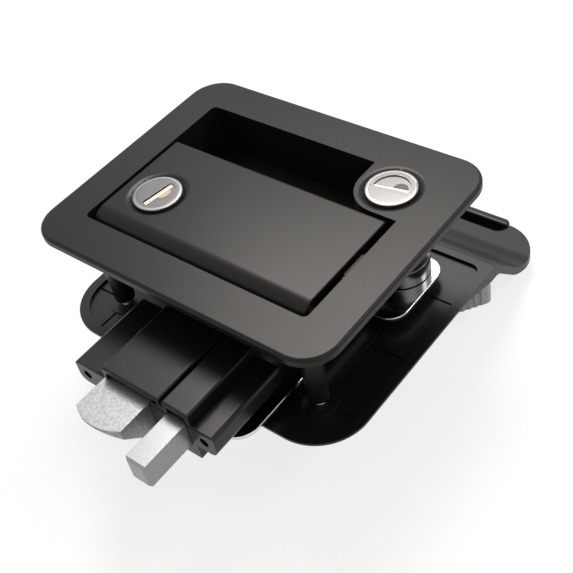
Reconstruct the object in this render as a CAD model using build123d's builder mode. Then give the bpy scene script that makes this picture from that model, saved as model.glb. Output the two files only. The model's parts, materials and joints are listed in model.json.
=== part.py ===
from build123d import *
import os
from math import atan2, cos, radians, sin, tan

os.makedirs("parts", exist_ok=True)

# Door latch for a caravan door, millimetres. The origin is the middle of the
# flange on the door's outer skin. +Z leaves the door outwards, the bolts leave
# the case towards -Y, and X runs along the paddle's hinge pin.

# Door and fits
door_thickness = 38.0
running_gap = 0.05
slide_gap = 0.3
lever_gap = 0.6

# Flange of the outer housing
flange_width = 124.0
flange_length = 98.5
flange_thickness = 3.0
flange_corner = 12.0
flange_edge_round = 1.2

# Recessed pan
opening_left = -48.0
opening_right = 47.3
opening_front = -34.2
opening_rear = 34.2
opening_corner = 2.0
pan_depth = 16.5
pan_wall = 1.8
pan_floor = 2.0
stop_rib_length = 11.0
stop_rib_width = 1.6
stop_rib_y = -8.8
stop_rib_sink = 2.0

# Screw posts and mounting screws
post_x = 44.5
front_post_y = -33.0
rear_post_y = 31.0
inner_post_x = 15.2
front_post_radius = 3.75
front_post_clamp = 2.0
rear_post_radius = 3.0
mounting_screw_radius = 2.0
mounting_screw_length = 20.0
mounting_head_radius = 4.0
screw_head_height = 2.2
screw_hole_gap = 0.3

# Locks
lock_head_radius = 8.8
lock_head_height = 2.1
lock_proud = 0.3
lock_body_radius = 7.7
plug_face_radius = 7.5
plug_face_thickness = 1.2
plug_radius = 5.2
key_slot_length = 12.6
key_slot_width = 1.4
key_slot_depth = 2.6
key_dish_radius = 6.4
key_dish_depth = 0.5
lock_nut_thickness = 1.8
lock_nut_radius = 10.2
dimple_radius = 11.4
dimple_depth = 1.1

# Deadbolt lock in the corner of the pan
lock_x = 37.1
lock_y = 25.6
lock_slot_angle = 11.0
boss_radius = 12.4
boss_wall = 1.8
boss_top_thickness = 6.0

# Paddle
paddle_left = -46.9
paddle_right = 44.3
paddle_free_edge = 12.2
paddle_sink = 0.2
paddle_thickness = 2.8
paddle_lip = 5.0
paddle_roll_radius = 7.6
paddle_roll_wrap = 135.0
paddle_roll_gap = 0.4
paddle_pin_radius = 2.0
paddle_hub_radius = 4.6
paddle_knuckle_sink = 1.0
pin_chamfer = 0.4
paddle_skirt_depth = 6.2
paddle_skirt_width = 1.8
paddle_swing = 45.0
paddle_lock_x = -32.8
paddle_lock_y = -13.5
paddle_slot_angle = 260.5
paddle_boss_radius = 10.8
paddle_boss_depth = 8.6
cam_length = 10.0
cam_thickness = 1.6
cam_radius = 5.0
cam_tip_radius = 3.0
tail_x = -2.0
tail_width = 8.0
tail_radius = 2.0
tail_root_half = 3.4
tail_neck_half = 1.2

# Springs
spring_wire = 0.5
paddle_spring_x = 24.0
paddle_spring_turns = 6.5
paddle_spring_leg = 9.0
latch_spring_x = 6.9
latch_spring_z = -29.9
latch_spring_radius = 2.5
latch_spring_turns = 9
lever_spring_turns = 3.5
lever_spring_leg = 8.0

# Latch case
case_left = -12.9
case_right = 28.6
case_rear = -5.0
case_top = -19.2
case_front_wall = 2.6
case_roof = 1.9
case_bottom = -33.7
case_nose_length = 9.5
case_edge_round = 1.0
case_pad_gap = 0.4
ear_left_x = -18.7
ear_right_x = 32.7
ear_z = -24.0
ear_radius = 4.6
ear_length = 32.0
ear_hole_radius = 1.75
ear_hole_depth = 12.0
ear_edge_round = 1.5
case_screw_radius = 1.5
case_screw_places = (-28.2, -10.0)
lid_screw_inset = 5.0
lid_screw_pitch = 14.0

# Case lid with its two raised panels
lid_left = -8.7
lid_right = 28.4
lid_top = -14.2
lid_length = 34.0
lid_gap = 2.0
lid_thickness = 2.0
lid_wall = 1.5
lid_groove_left = 16.3
lid_groove_right = 17.5
lid_groove_depth = 2.8
lid_edge_round = 0.8

# Bolts
bolt_top = -19.5
latch_left = -9.2
latch_width = 20.0
latch_height = 11.0
latch_reach = 12.5
latch_bow = 3.2
latch_lip = 1.0
latch_length = 28.0
latch_throw = 15.5
deadbolt_left = 18.3
deadbolt_width = 8.0
deadbolt_height = 10.0
deadbolt_reach = 18.7
deadbolt_length = 33.7
deadbolt_throw = 18.6
deadbolt_chamfer = 0.8

# Slides behind the bolts
strap_top = -24.0
strap_thickness = 2.0
latch_strap_width = 18.0
deadbolt_strap_width = 6.0
tongue_length = 6.0
slide_margin = 3.0
tang_width = 6.0
tang_thickness = 2.0

# Base plate
plate_thickness = 1.5
tongue_left = -20.0
tongue_right = 37.2
tongue_gap = 0.2
tongue_corner = 8.0
wide_half = 50.5
wide_front = 2.8
wide_rear = 35.2
wide_corner = 7.0
spring_tab_y = -24.0

# Deadbolt hub, crank and thumb turn
hub_radius = 10.7
hub_slot_width = 2.4
hub_slot_length = 7.6
hub_slot_depth = 4.8
crank_start_angle = 225.0
crank_pin_radius = 2.0
crank_arm_half = 4.2
crank_slot_gap = 0.5
spindle_radius = 3.5
bush_radius = 5.5
bush_flange_radius = 7.5
bush_flange_thickness = 1.2
key_blade_width = 6.0
key_blade_thickness = 1.6
thumb_angle = 45.0
thumb_turn_arc = 90.0
thumb_hub_radius = 10.4
thumb_length = 30.8
thumb_end_half = 5.6
thumb_end_corner = 2.4
thumb_bottom = -55.0
thumb_socket_depth = 4.0
thumb_edge_round = 1.2
thumb_top_round = 2.0
thumb_groove_radius = 0.7
thumb_groove_pitch = 2.4
thumb_groove_count = 5
thumb_plain_end = 5.0

# Transfer lever
transfer_x = -13.7
transfer_y = 22.0
transfer_swing = 60.0
transfer_half = 3.0
transfer_boss_radius = 4.4
transfer_tip_radius = 3.2
transfer_thickness = 2.0
transfer_pin_radius = 2.0
stud_radius = 2.0
stud_shoulder_radius = 3.4
stud_head_height = 1.2

# Inner lever
finger_stroke = 8.0
lever_swing = 20.0
lever_pin_radius = 2.0
lever_barrel_radius = 4.4
lever_left = -24.0
lever_right = 4.0
lever_finger_width = 3.0
lever_finger_thickness = 3.0
lever_finger_round = 1.0
lever_finger_arm = 23.0
lever_finger_top = 1.2
lever_blade_side_gap = 3.0
lever_blade_thickness = 3.0
lever_blade_gap = 1.0
lever_shank_rear = 56.0
lever_flare_rear = 66.0
lever_bead_foot_inset = 2.0
lever_bead_front_inset = 0.6
lever_bead_width = 3.0
lever_bead_proud = 0.5
lever_bead_round = 1.2
lever_corner = 3.5
lever_spring_room = 5.6
lever_ear_length = 4.0
lever_ear_radius = 4.2

# Inner plate with its pull wing
inner_half = 62.75
inner_front = -50.9
inner_crest = 46.6
inner_thickness = 5.5
inner_corner = 19.0
inner_rim = 3.6
inner_rim_lip = 1.0
inner_floor = 4.2
inner_hollow_corner = 4.0
inner_foot_round = 4.5
undercut_rear = 27.0
undercut_end = 43.0
undercut_tip = 0.1
wing_far = 83.0
wing_top = -55.5
wing_thickness = 3.0
wing_slope = 44.0
wing_corner = 16.0
wing_crest_round = 2.0
wing_knee_round = 17.0
notch_half = 47.5
notch_front = 77.5
notch_corner = 4.5
boss_pad_radius = 6.2
boss_pad_height = 0.5
rear_boss_radius = 5.4
groove_width = 0.8
groove_depth = 0.8
groove_rear = 3.0
cross_groove_y = -5.0
rear_groove_y = 23.7
groove_inner_x = 34.0
rear_groove_x = 46.0

# Levels and places that follow from the sizes above
flange_face = flange_thickness
pan_bottom = -(pan_depth + pan_floor)
pan_front = opening_front - pan_wall
lid_rear = pan_front - lid_gap
case_front = lid_rear - lid_length
case_pad_front = pan_front + case_pad_gap
tongue_front = case_front + case_nose_length + tongue_gap
paddle_top = flange_face - paddle_sink
hinge_y = opening_front + paddle_roll_gap + paddle_roll_radius
hinge_z = paddle_top - paddle_roll_radius
plate_bottom = case_bottom - plate_thickness
inner_rim_z = -door_thickness
inner_room_z = inner_rim_z - inner_thickness
inner_floor_z = inner_room_z + inner_floor
front_post_end = inner_rim_z + front_post_clamp
lever_blade_half = notch_half - lever_blade_side_gap
lever_blade_top = wing_top - wing_thickness - lever_blade_gap
lever_bead_foot = wing_far - lever_bead_foot_inset
lever_bead_front = wing_far - lever_bead_front_inset
lever_edge_y = lever_bead_front + lever_bead_width
lever_bead_top = wing_top + lever_bead_proud
strap_bottom = strap_top - strap_thickness
latch_right = latch_left + latch_width
latch_middle = (latch_left + latch_right) / 2
latch_rear = case_front - latch_reach + latch_length - latch_bow
deadbolt_right = deadbolt_left + deadbolt_width
deadbolt_rear = case_front - deadbolt_reach + deadbolt_length
rib_x = (latch_right + deadbolt_left) / 2
lid_screw_rear = lid_rear - lid_screw_inset
lid_screw_places = (lid_screw_rear - lid_screw_pitch, lid_screw_rear)

# The paddle's tail swings evenly to both sides of the plumb line, and its
# round tip carries the latch slide through the whole throw
tail_half_swing = radians(paddle_swing / 2)
tail_arm = latch_throw / (2 * sin(tail_half_swing))
tail_tip_y = hinge_y - tail_arm * sin(tail_half_swing)
tail_tip_z = hinge_z - tail_arm * cos(tail_half_swing)

# A quarter turn of the crank moves the deadbolt through its throw
crank_radius = deadbolt_throw / (2 * sin(radians(thumb_turn_arc / 2)))
crank_x = lock_x + crank_radius * cos(radians(crank_start_angle))
crank_y = lock_y + crank_radius * sin(radians(crank_start_angle))
crank_inner_x = lock_x - crank_radius

# The transfer lever's pin gives the latch slide the same throw. The inner
# lever's finger pushes the transfer lever nearer to its pivot
transfer_half_swing = radians(transfer_swing / 2)
transfer_arm = latch_throw / (2 * sin(transfer_half_swing))
transfer_pin_x = transfer_x + transfer_arm * cos(transfer_half_swing)
transfer_pin_y = transfer_y - latch_throw / 2
transfer_top = strap_bottom - lever_gap
transfer_bottom = transfer_top - transfer_thickness
finger_x = transfer_x + finger_stroke / 2 / tan(transfer_half_swing)
finger_half_swing = radians(lever_swing / 2)
finger_reach = transfer_half + lever_gap + lever_finger_thickness / 2
finger_y = transfer_y - finger_stroke / 2 - finger_reach / cos(transfer_half_swing)
lever_y = finger_y + lever_finger_arm * sin(finger_half_swing)
lever_z = transfer_bottom - lever_finger_arm * cos(finger_half_swing)

# Crank, hub and thumb turn share the deadbolt lock's axis
crank_arm_top = strap_bottom - lever_gap
hub_bottom = case_bottom + slide_gap
thumb_top = inner_room_z - bush_flange_thickness - lever_gap

front_posts = ((-post_x, front_post_y), (post_x, front_post_y))
rear_posts = ((-post_x, rear_post_y), (inner_post_x, rear_post_y))


def rectangle_between(left, right, front, rear, mode=Mode.ADD):
    """Add a rectangle between four edges to the current sketch."""
    with Locations(((left + right) / 2, (front + rear) / 2)):
        Rectangle(right - left, rear - front, mode=mode)


def arm_between(start, end, start_half, end_half):
    """Add a tapered arm between two points to the current sketch."""
    direction = atan2(end[1] - start[1], end[0] - start[0])
    across = (-sin(direction), cos(direction))
    Polygon(
        (start[0] + start_half * across[0], start[1] + start_half * across[1]),
        (end[0] + end_half * across[0], end[1] + end_half * across[1]),
        (end[0] - end_half * across[0], end[1] - end_half * across[1]),
        (start[0] - start_half * across[0], start[1] - start_half * across[1]),
        align=None,
    )


# Outer housing: flange, recessed pan, lock boss and four screw posts
with BuildPart() as outer_housing:
    with BuildSketch(Plane.XY):
        RectangleRounded(flange_width, flange_length, flange_corner)
    extrude(amount=flange_thickness)
    fillet(outer_housing.faces().sort_by(Axis.Z)[-1].edges(), flange_edge_round)
    with BuildSketch(Plane.XY.offset(pan_bottom)) as pan_outside:
        rectangle_between(
            opening_left - pan_wall,
            opening_right + pan_wall,
            pan_front,
            opening_rear + pan_wall,
        )
        fillet(pan_outside.vertices(), opening_corner + pan_wall)
    extrude(amount=-pan_bottom)
    with BuildSketch(Plane.XY.offset(front_post_end)):
        with Locations(*front_posts):
            Circle(front_post_radius)
    extrude(amount=pan_bottom - front_post_end + pan_floor / 2)
    with BuildSketch(Plane.XY.offset(case_bottom)):
        with Locations(*rear_posts):
            Circle(rear_post_radius)
    extrude(amount=pan_bottom - case_bottom + pan_floor / 2)
    # The pan goes round the lock boss in its corner
    with BuildSketch(Plane.XY.offset(-pan_depth)) as pan_inside:
        rectangle_between(opening_left, opening_right, opening_front, opening_rear)
        fillet(pan_inside.vertices(), opening_corner)
        rectangle_between(lock_x, opening_right, lock_y - boss_radius, opening_rear, Mode.SUBTRACT)
        rectangle_between(lock_x - boss_radius, lock_x, lock_y, opening_rear, Mode.SUBTRACT)
        with Locations((lock_x, lock_y)):
            Circle(boss_radius, mode=Mode.SUBTRACT)
    extrude(amount=pan_depth + flange_face, mode=Mode.SUBTRACT)
    # The boss is a ring round the lock, hollow behind and open to the room
    boss_ring_radius = boss_radius - boss_wall
    with BuildSketch(Plane.XY.offset(pan_bottom)):
        rectangle_between(lock_x, opening_right, lock_y - boss_ring_radius, opening_rear)
        rectangle_between(lock_x - boss_ring_radius, lock_x, lock_y, opening_rear)
        with Locations((lock_x, lock_y)):
            Circle(boss_ring_radius, mode=Mode.SUBTRACT)
    extrude(amount=flange_face - boss_top_thickness - pan_bottom, mode=Mode.SUBTRACT)
    # Dished ring, head seat and bore for the deadbolt lock
    with BuildSketch(Plane.XZ.offset(-lock_y)):
        with BuildLine():
            Polyline(
                (lock_x, flange_face - dimple_depth),
                (lock_x + lock_head_radius, flange_face - dimple_depth),
                (lock_x + dimple_radius, flange_face),
                (lock_x, flange_face),
                close=True,
            )
        make_face()
    revolve(axis=Axis((lock_x, lock_y, 0), (0, 0, 1)), mode=Mode.SUBTRACT)
    with Locations((lock_x, lock_y, flange_face)):
        CounterBoreHole(
            lock_body_radius + running_gap,
            lock_head_radius + running_gap,
            lock_head_height - lock_proud,
            depth=flange_face - pan_bottom,
        )
    # Slot in the floor for the paddle's tail
    tail_sweep = (hinge_z - pan_bottom) * tan(tail_half_swing) + tail_radius + slide_gap
    with BuildSketch(Plane.XY.offset(pan_bottom)):
        with Locations((tail_x, hinge_y)):
            Rectangle(tail_width + 2 * lever_gap, 2 * tail_sweep)
    extrude(amount=pan_floor, mode=Mode.SUBTRACT)
    # Stop rib in the gap at the paddle's right side
    with BuildSketch(Plane.XY.offset(-pan_depth)):
        with Locations((opening_right - stop_rib_width / 2, stop_rib_y)):
            Rectangle(stop_rib_width, stop_rib_length)
    extrude(amount=pan_depth + flange_face - stop_rib_sink)
    # Hinge pin bore through both side walls
    with BuildSketch(Plane.YZ.offset(opening_left - pan_wall)):
        with Locations((hinge_y, hinge_z)):
            Circle(paddle_pin_radius + running_gap)
    extrude(amount=opening_right - opening_left + 2 * pan_wall, mode=Mode.SUBTRACT)
    # Screw bores in the posts, and two in the floor for the case screws
    with BuildSketch(Plane.XY.offset(inner_rim_z)):
        with Locations(*front_posts, *rear_posts):
            Circle(mounting_screw_radius + running_gap)
    extrude(amount=pan_bottom - inner_rim_z, mode=Mode.SUBTRACT)
    with BuildSketch(Plane.XY.offset(pan_bottom)):
        with Locations(*[(rib_x, y) for y in case_screw_places]):
            Circle(case_screw_radius + running_gap)
    extrude(amount=pan_floor, mode=Mode.SUBTRACT)
outer_housing.part.label = "outer_housing"
export_step(outer_housing.part, "parts/outer_housing.step")

# Paddle: a plate that rolls round its hinge pin, with skirts and a tail
with BuildPart() as paddle:
    with BuildSketch(Plane.YZ.offset(paddle_left)):
        with BuildLine():
            hinge_point = (hinge_y, hinge_z)
            inner_roll_radius = paddle_roll_radius - paddle_thickness
            outer_roll = CenterArc(hinge_point, paddle_roll_radius, 90, paddle_roll_wrap)
            inner_roll = CenterArc(hinge_point, inner_roll_radius, 90, paddle_roll_wrap)
            Line(outer_roll @ 1, inner_roll @ 1)
            Polyline(
                inner_roll @ 0,
                (paddle_free_edge - paddle_thickness, paddle_top - paddle_thickness),
                (paddle_free_edge - paddle_thickness, paddle_top - paddle_lip),
                (paddle_free_edge, paddle_top - paddle_lip),
                (paddle_free_edge, paddle_top),
                outer_roll @ 0,
            )
        make_face()
    extrude(amount=paddle_right - paddle_left)
    fillet(
        paddle.edges().filter_by(Axis.X).group_by(Axis.Y)[-1].sort_by(Axis.Z)[-1],
        flange_edge_round,
    )
    # End skirts close the roll
    for skirt_start in (paddle_left, paddle_right - paddle_skirt_width):
        with BuildSketch(Plane.YZ.offset(skirt_start)):
            with Locations(hinge_point):
                Circle(paddle_roll_radius)
            rectangle_between(
                hinge_y,
                paddle_free_edge - flange_edge_round,
                paddle_top - paddle_skirt_depth,
                paddle_top,
            )
        extrude(amount=paddle_skirt_width)
    # Tail with its round tip, and the knuckle that carries it
    with BuildSketch(Plane.YZ.offset(tail_x - tail_width / 2)):
        with Locations(hinge_point):
            Circle(paddle_hub_radius)
        rectangle_between(
            hinge_y - paddle_hub_radius / 2,
            hinge_y + paddle_hub_radius,
            hinge_z,
            paddle_top - paddle_knuckle_sink,
        )
        arm_between(hinge_point, (tail_tip_y, tail_tip_z), tail_root_half, tail_neck_half)
        with Locations((tail_tip_y, tail_tip_z)):
            Circle(tail_radius)
    extrude(amount=tail_width)
    # Lock boss with its dished ring, head seat and bore
    with BuildSketch(Plane.XY.offset(paddle_top - paddle_boss_depth)):
        with Locations((paddle_lock_x, paddle_lock_y)):
            Circle(paddle_boss_radius)
    extrude(amount=paddle_boss_depth - paddle_thickness / 2)
    with BuildSketch(Plane.XZ.offset(-paddle_lock_y)):
        with BuildLine():
            Polyline(
                (paddle_lock_x, paddle_top - dimple_depth),
                (paddle_lock_x + lock_head_radius, paddle_top - dimple_depth),
                (paddle_lock_x + dimple_radius, paddle_top),
                (paddle_lock_x, paddle_top),
                close=True,
            )
        make_face()
    revolve(axis=Axis((paddle_lock_x, paddle_lock_y, 0), (0, 0, 1)), mode=Mode.SUBTRACT)
    with Locations((paddle_lock_x, paddle_lock_y, paddle_top)):
        CounterBoreHole(
            lock_body_radius + running_gap,
            lock_head_radius + running_gap,
            lock_head_height - lock_proud,
            depth=paddle_boss_depth,
        )
    with BuildSketch(Plane.YZ.offset(paddle_left)):
        with Locations(hinge_point):
            Circle(paddle_pin_radius + running_gap)
    extrude(amount=paddle_right - paddle_left, mode=Mode.SUBTRACT)
paddle.part.label = "paddle"
export_step(paddle.part, "parts/paddle.step")

with BuildPart() as paddle_pin:
    with BuildSketch(Plane.YZ.offset(opening_left - pan_wall)):
        with Locations(hinge_point):
            Circle(paddle_pin_radius)
    extrude(amount=opening_right - opening_left + 2 * pan_wall)
    chamfer(paddle_pin.edges().filter_by(GeomType.CIRCLE), pin_chamfer)
paddle_pin.part.label = "paddle_pin"
export_step(paddle_pin.part, "parts/paddle_pin.step")


def torsion_spring(start_x, centre_y, centre_z, pin_radius, turns, leg):
    """Wind a torsion spring round a pin along X, with a straight leg at each end."""
    coil_radius = pin_radius + slide_gap + spring_wire
    pitch = 2 * spring_wire + running_gap
    with BuildPart() as spring:
        with BuildLine() as path:
            Helix(
                pitch,
                pitch * turns,
                coil_radius,
                center=(start_x, centre_y, centre_z),
                direction=(1, 0, 0),
            )
        coil = path.wire()
        with BuildSketch(Plane(coil @ 0, z_dir=coil % 0)):
            Circle(spring_wire)
        sweep(path=coil, is_frenet=True)
        for end, length in ((0, leg), (1, leg / 2)):
            outward = (coil % end) * (2 * end - 1)
            with BuildSketch(Plane(coil @ end, z_dir=outward)):
                Circle(spring_wire)
            extrude(amount=length)
    return spring


paddle_spring = torsion_spring(
    paddle_spring_x, hinge_y, hinge_z, paddle_pin_radius, paddle_spring_turns, paddle_spring_leg
)
paddle_spring.part.label = "paddle_spring"
export_step(paddle_spring.part, "parts/paddle_spring.step")


def lock_barrel(x, y, top, body_bottom):
    """Make a lock's barrel with a rimmed head, bored for its plug."""
    rim_top = top + lock_proud
    with BuildPart() as barrel:
        with BuildSketch(Plane.XY.offset(rim_top - lock_head_height)):
            with Locations((x, y)):
                Circle(lock_head_radius)
        extrude(amount=lock_head_height)
        fillet(barrel.edges().sort_by(Axis.Z)[-1], lock_proud)
        with BuildSketch(Plane.XY.offset(body_bottom)):
            with Locations((x, y)):
                Circle(lock_body_radius)
        extrude(amount=rim_top - lock_head_height - body_bottom)
        with Locations((x, y, rim_top)):
            CounterBoreHole(
                plug_radius + running_gap,
                plug_face_radius + running_gap,
                plug_face_thickness,
                depth=rim_top - body_bottom,
            )
    return barrel


def lock_plug(x, y, top, plug_bottom, slot_angle):
    """Make a lock's plug with its face, key slot and thumb dish."""
    face = top + lock_proud - running_gap
    key_plane = Plane((x, y, face), x_dir=(cos(radians(slot_angle)), sin(radians(slot_angle)), 0))
    with BuildPart() as plug:
        with BuildSketch(key_plane):
            Circle(plug_face_radius)
        extrude(amount=-(plug_face_thickness - running_gap))
        with BuildSketch(key_plane):
            Circle(plug_radius)
        extrude(amount=plug_bottom - face)
        with BuildSketch(key_plane):
            Circle(key_dish_radius)
            with Locations((0, -key_dish_radius)):
                Rectangle(2 * key_dish_radius, 2 * key_dish_radius, mode=Mode.SUBTRACT)
        extrude(amount=-key_dish_depth, mode=Mode.SUBTRACT)
        with BuildSketch(key_plane):
            SlotOverall(key_slot_length, key_slot_width)
        extrude(amount=-key_slot_depth, mode=Mode.SUBTRACT)
    return plug


def lock_nut(x, y, top):
    """Make the thin hexagon nut that clamps a lock from behind."""
    with BuildPart() as nut:
        with BuildSketch(Plane.XY.offset(top - lock_nut_thickness)):
            with Locations((x, y)):
                RegularPolygon(lock_nut_radius, 6)
                Circle(lock_body_radius + running_gap, mode=Mode.SUBTRACT)
        extrude(amount=lock_nut_thickness)
    return nut


# Lock in the paddle: barrel, plug, nut and the cam that turns under the paddle
paddle_nut_top = paddle_top - paddle_boss_depth
paddle_barrel_bottom = paddle_nut_top - lock_nut_thickness - lever_gap
cam_top = paddle_barrel_bottom - slide_gap
cam_bottom = cam_top - cam_thickness

paddle_lock_barrel = lock_barrel(paddle_lock_x, paddle_lock_y, paddle_top, paddle_barrel_bottom)
paddle_lock_barrel.part.label = "paddle_lock_barrel"
export_step(paddle_lock_barrel.part, "parts/paddle_lock_barrel.step")

paddle_lock_plug = lock_plug(
    paddle_lock_x, paddle_lock_y, paddle_top, cam_top, paddle_slot_angle
)
paddle_lock_plug.part.label = "paddle_lock_plug"
export_step(paddle_lock_plug.part, "parts/paddle_lock_plug.step")

paddle_lock_nut = lock_nut(paddle_lock_x, paddle_lock_y, paddle_nut_top)
paddle_lock_nut.part.label = "paddle_lock_nut"
export_step(paddle_lock_nut.part, "parts/paddle_lock_nut.step")

with BuildPart() as paddle_lock_cam:
    with BuildSketch(Plane.XY.offset(cam_bottom)):
        with Locations((paddle_lock_x, paddle_lock_y)):
            Circle(cam_radius)
        with Locations((paddle_lock_x, paddle_lock_y + cam_length)):
            Circle(cam_tip_radius)
        arm_between(
            (paddle_lock_x, paddle_lock_y),
            (paddle_lock_x, paddle_lock_y + cam_length),
            cam_radius,
            cam_tip_radius,
        )
    extrude(amount=cam_thickness)
paddle_lock_cam.part.label = "paddle_lock_cam"
export_step(paddle_lock_cam.part, "parts/paddle_lock_cam.step")

# Deadbolt lock: its barrel goes through the boss, its blade drives the hub
lock_barrel_bottom = pan_bottom - lock_nut_thickness - lever_gap
blade_disc_bottom = lock_barrel_bottom - slide_gap - cam_thickness

deadbolt_lock_barrel = lock_barrel(lock_x, lock_y, flange_face, lock_barrel_bottom)
deadbolt_lock_barrel.part.label = "deadbolt_lock_barrel"
export_step(deadbolt_lock_barrel.part, "parts/deadbolt_lock_barrel.step")

deadbolt_lock_plug = lock_plug(
    lock_x, lock_y, flange_face, lock_barrel_bottom - slide_gap, lock_slot_angle
)
deadbolt_lock_plug.part.label = "deadbolt_lock_plug"
export_step(deadbolt_lock_plug.part, "parts/deadbolt_lock_plug.step")

deadbolt_lock_nut = lock_nut(lock_x, lock_y, pan_bottom)
deadbolt_lock_nut.part.label = "deadbolt_lock_nut"
export_step(deadbolt_lock_nut.part, "parts/deadbolt_lock_nut.step")

hub_slot_plane = Plane(
    (lock_x, lock_y, crank_arm_top),
    x_dir=(cos(radians(lock_slot_angle)), sin(radians(lock_slot_angle)), 0),
)
with BuildPart() as deadbolt_lock_tail:
    with BuildSketch(Plane.XY.offset(blade_disc_bottom)):
        with Locations((lock_x, lock_y)):
            Circle(cam_radius)
    extrude(amount=cam_thickness)
    with BuildSketch(hub_slot_plane.offset(blade_disc_bottom - crank_arm_top)):
        Rectangle(key_blade_width, key_blade_thickness)
    extrude(amount=crank_arm_top - hub_slot_depth + lever_gap - blade_disc_bottom)
deadbolt_lock_tail.part.label = "deadbolt_lock_tail"
export_step(deadbolt_lock_tail.part, "parts/deadbolt_lock_tail.step")

# Latch case: two channels, a front wall with windows, and screw ears
latch_channel = (latch_left - slide_gap, latch_right + slide_gap)
deadbolt_channel = (deadbolt_left - slide_gap, deadbolt_right + slide_gap)
with BuildPart() as latch_case:
    with BuildSketch(Plane.XY.offset(case_bottom)):
        rectangle_between(case_left, case_right, case_front, case_rear)
    extrude(amount=case_top - case_bottom)
    with BuildSketch(Plane.XY.offset(plate_bottom)):
        rectangle_between(case_left, case_right, case_front, case_front + case_nose_length)
    extrude(amount=plate_thickness)
    with BuildSketch(Plane.XZ.offset(-case_front)) as ears:
        rectangle_between(
            ear_left_x - ear_radius, ear_right_x + ear_radius, ear_z - ear_radius, ear_z + ear_radius
        )
        fillet(ears.vertices().group_by(Axis.Y)[0], ear_radius - ear_edge_round)
        fillet(ears.vertices().group_by(Axis.Y)[-1], ear_edge_round)
    extrude(amount=-ear_length)
    front_top_edges = latch_case.edges().filter_by(Axis.X).group_by(Axis.Y)[0]
    fillet(front_top_edges.sort_by(Axis.Z)[-1], case_edge_round)
    # Seat that meets the pan's floor
    with BuildSketch(Plane.XY.offset(case_top)):
        rectangle_between(case_left, case_right, case_pad_front, case_rear)
    extrude(amount=pan_bottom - case_top)
    # Channels behind the front wall, roofed where the lid ends
    for left, right in (latch_channel, deadbolt_channel):
        with BuildSketch(Plane.XY.offset(plate_bottom)):
            rectangle_between(left, right, case_front + case_front_wall, case_rear)
        extrude(amount=case_top - case_roof - plate_bottom, mode=Mode.SUBTRACT)
        with BuildSketch(Plane.XY.offset(case_bottom)):
            rectangle_between(left, right, case_front + case_front_wall, lid_rear + lid_wall)
        extrude(amount=case_top - case_bottom, mode=Mode.SUBTRACT)
    # Windows for the bolts
    bolt_windows = (
        (latch_channel, bolt_top - latch_height - slide_gap),
        (deadbolt_channel, bolt_top - deadbolt_height - slide_gap),
    )
    for (left, right), sill in bolt_windows:
        with BuildSketch(Plane.XY.offset(sill)):
            rectangle_between(left, right, case_front, case_front + case_front_wall)
        extrude(amount=case_top - sill, mode=Mode.SUBTRACT)
    # Slot in the roof for the paddle's tail
    roof_bottom = case_top - case_roof
    roof_sweep = (hinge_z - roof_bottom) * tan(tail_half_swing) + tail_radius + slide_gap
    with BuildSketch(Plane.XY.offset(roof_bottom)):
        with Locations((tail_x, hinge_y)):
            Rectangle(tail_width + 2 * lever_gap, 2 * roof_sweep)
    extrude(amount=pan_bottom - roof_bottom, mode=Mode.SUBTRACT)
    # Screw holes in the ears and down the middle rib
    with BuildSketch(Plane.XZ.offset(-case_front)):
        with Locations((ear_left_x, ear_z), (ear_right_x, ear_z)):
            Circle(ear_hole_radius)
    extrude(amount=-ear_hole_depth, mode=Mode.SUBTRACT)
    with BuildSketch(Plane.XY.offset(case_bottom)):
        with Locations(*[(rib_x, y) for y in case_screw_places + lid_screw_places]):
            Circle(case_screw_radius + running_gap)
    extrude(amount=pan_bottom - case_bottom, mode=Mode.SUBTRACT)
latch_case.part.label = "latch_case"
export_step(latch_case.part, "parts/latch_case.step")

# Case lid: two raised panels over the bolts, open at the front
lid_roof_bottom = lid_top - lid_thickness
with BuildPart() as case_lid:
    with BuildSketch(Plane.XY.offset(case_top)):
        rectangle_between(lid_left, lid_right, case_front, lid_rear)
    extrude(amount=lid_top - case_top)
    with BuildSketch(Plane.XY.offset(lid_top - lid_groove_depth)):
        rectangle_between(lid_groove_left, lid_groove_right, case_front, lid_rear)
    extrude(amount=lid_groove_depth, mode=Mode.SUBTRACT)
    fillet(case_lid.faces().group_by(Axis.Z)[-1].edges(), lid_edge_round)
    hollows = (
        (lid_left + lid_wall, lid_groove_left - lid_wall),
        (lid_groove_right + lid_wall, lid_right - lid_wall),
    )
    for left, right in hollows:
        with BuildSketch(Plane.XY.offset(case_top)):
            rectangle_between(left, right, case_front, lid_rear - lid_wall)
        extrude(amount=lid_roof_bottom - case_top, mode=Mode.SUBTRACT)
    with BuildSketch(Plane.XY.offset(case_top)):
        with Locations(*[(rib_x, y) for y in lid_screw_places]):
            Circle(case_screw_radius + running_gap)
    extrude(amount=lid_roof_bottom - case_top, mode=Mode.SUBTRACT)
case_lid.part.label = "case_lid"
export_step(case_lid.part, "parts/case_lid.step")


def screws_from_below(places, seat, top, radius, head_radius):
    """Make round-headed screws that point up, one at each place."""
    with BuildPart() as screws:
        with BuildSketch(Plane.XY.offset(seat)):
            with Locations(*places):
                Circle(radius)
        extrude(amount=top - seat)
        with BuildSketch(Plane.XY.offset(seat - screw_head_height)):
            with Locations(*places):
                Circle(head_radius)
        extrude(amount=screw_head_height)
        heads = screws.edges().filter_by(GeomType.CIRCLE).group_by(Axis.Z)[0]
        fillet(heads, screw_head_height / 2)
        with BuildSketch(Plane.XY.offset(seat - screw_head_height)):
            with Locations(*places):
                SlotOverall(head_radius, radius / 3)
                SlotOverall(head_radius, radius / 3, rotation=90)
        extrude(amount=screw_head_height / 2, mode=Mode.SUBTRACT)
    return screws


case_screws = screws_from_below(
    [(rib_x, y) for y in case_screw_places],
    plate_bottom,
    pan_bottom + pan_floor - slide_gap,
    case_screw_radius,
    2 * case_screw_radius,
)
case_screws.part.label = "case_screws"
export_step(case_screws.part, "parts/case_screws.step")

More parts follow.
